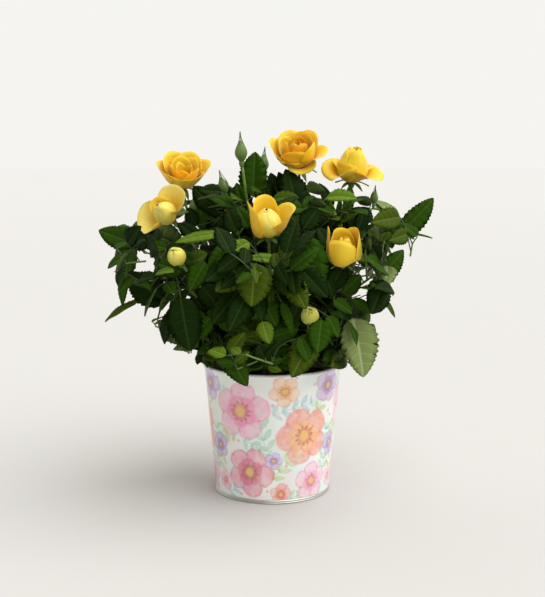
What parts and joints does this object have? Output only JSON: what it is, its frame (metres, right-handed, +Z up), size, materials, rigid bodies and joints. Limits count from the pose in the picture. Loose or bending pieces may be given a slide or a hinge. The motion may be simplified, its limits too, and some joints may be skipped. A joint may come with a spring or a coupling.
{
  "type": "potted miniature rose bush",
  "caption": "Miniature rose bush with open roses and buds above serrate leaves, standing in a tapered tinplate pot with a rolled rim and foot band.",
  "frame": {"origin": "centre of the pot's flat underside, on the surface that it stands on", "axes": "+Z up, -Y towards the front that shows the fullest side, +X to that side's right"},
  "size_m": [0.2836, 0.2385, 0.307],
  "materials": {
    "tinplate": "lacquered tinplate, printed all over with a loose watercolour flower pattern on white",
    "tin_band": "bare rolled tin foot band and inside wall",
    "peat": "dark damp potting peat",
    "bark": "green to brown rose cane with a few prickles",
    "foliage": "dark green satin rose leaf",
    "foliage_young": "light green young leaf",
    "petals": "yellow rose petal, deeper golden towards the heart",
    "calyx": "pale green calyx, sepals and bud"
  },
  "bodies": {
    "root": {"pot": "tinplate", "peat": "peat", "base_stem": "bark", "cane_low_front": "bark", "foliage_low_front": "foliage", "cane_low_right_front": "bark", "foliage_low_right_front": "foliage", "cane_low_right_back": "bark", "foliage_low_right_back": "foliage", "cane_low_back": "bark", "foliage_low_back": "foliage", "cane_low_left_back": "bark", "foliage_low_left_back": "foliage", "cane_low_left_front": "bark", "foliage_low_left_front": "foliage", "cane_side_front": "bark", "foliage_side_front": "foliage", "cane_side_right_front": "bark", "foliage_side_right_front": "foliage", "cane_side_right_back": "bark", "foliage_side_right_back": "foliage", "cane_side_back": "bark", "foliage_side_back": "foliage", "cane_side_left_back": "bark", "foliage_side_left_back": "foliage", "cane_side_left_front": "bark", "foliage_side_left_front": "foliage", "cane_upper_right": "bark", "foliage_upper_right": "foliage", "cane_upper_back": "bark", "foliage_upper_back": "foliage", "cane_upper_left": "bark", "foliage_upper_left": "foliage", "rose_top": "petals", "rose_right_back": "petals", "rose_top_left": "petals", "rose_left": "petals", "rose_front": "petals", "rose_right_front": "petals", "rose_behind_left": "petals", "rose_behind_middle": "petals", "rose_behind_right": "petals", "bud_left": "petals", "bud_low_right": "petals", "bud_top": "calyx", "bud_upper_left": "calyx", "bud_right": "calyx", "bud_behind": "calyx"}
  },
  "joints": []
}
